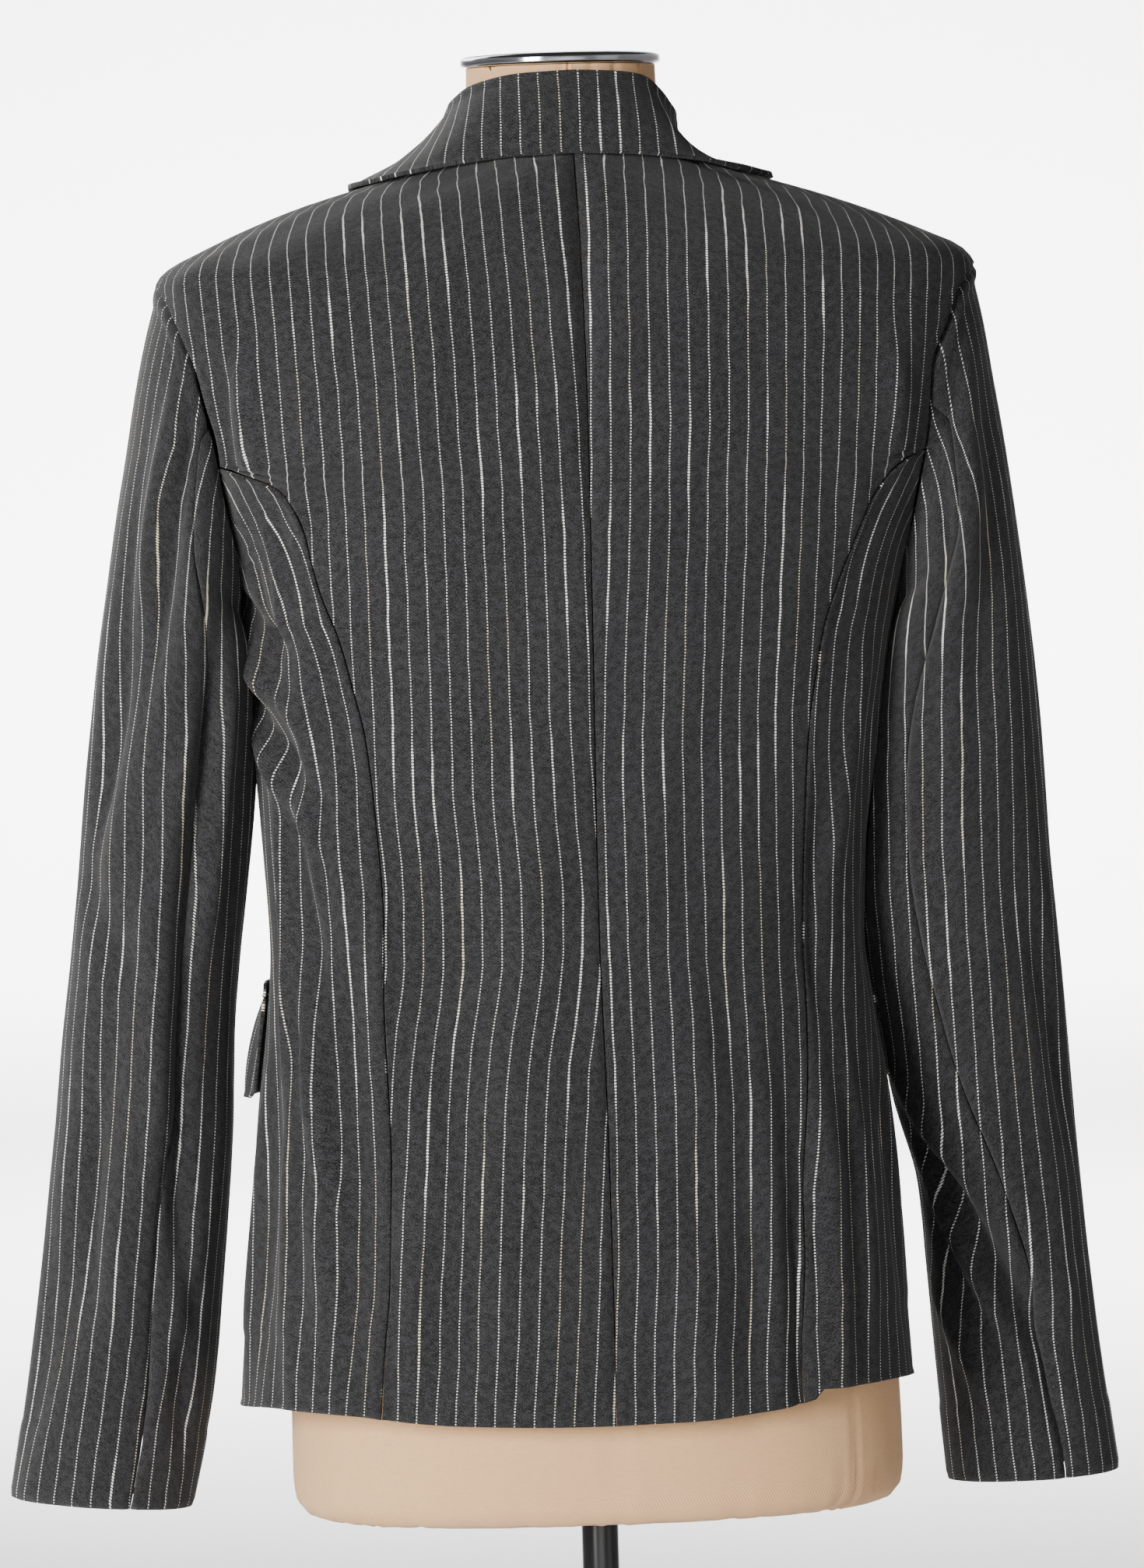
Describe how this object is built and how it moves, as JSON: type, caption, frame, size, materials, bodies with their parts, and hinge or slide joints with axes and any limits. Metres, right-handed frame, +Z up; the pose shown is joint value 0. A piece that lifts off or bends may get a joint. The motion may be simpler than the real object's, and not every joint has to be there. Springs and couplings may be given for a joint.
{
  "type": "pin-striped blazer on a limbless dress form with a pole stand",
  "caption": "Fitted charcoal pin-striped blazer with notched collar, curved back seams and long sleeves, worn by a limbless canvas dress form on a round-footed pole stand.",
  "frame": {"origin": "centre of the stand's round foot, on the floor", "axes": "+Z up along the pole, -Y out of the garment's front, +X towards the wearer's left"},
  "size_m": [0.5826, 0.33, 1.5028],
  "materials": {
    "charcoal_twill": "fine twill with thin dotted ivory stripes 10 mm apart",
    "form_canvas": "matt beige canvas",
    "neck_cap_chrome": "polished",
    "stand_black": "gloss black",
    "button_black": "satin"
  },
  "bodies": {
    "root": {"back_left": "charcoal_twill", "back_right": "charcoal_twill", "side_left": "charcoal_twill", "side_right": "charcoal_twill", "front_left": "charcoal_twill", "front_right": "charcoal_twill", "lapel_left": "charcoal_twill", "lapel_right": "charcoal_twill", "sleeve_upper_left": "charcoal_twill", "sleeve_upper_right": "charcoal_twill", "sleeve_under_left": "charcoal_twill", "sleeve_under_right": "charcoal_twill", "pocket_flap_left": "charcoal_twill", "pocket_flap_right": "charcoal_twill", "pocket_welt_left": "charcoal_twill", "pocket_welt_right": "charcoal_twill", "collar_fall": "charcoal_twill", "collar_stand": "charcoal_twill", "button_front": "button_black", "form_body": "form_canvas", "neck_cap": "neck_cap_chrome", "pole": "stand_black", "base": "stand_black"}
  },
  "joints": []
}
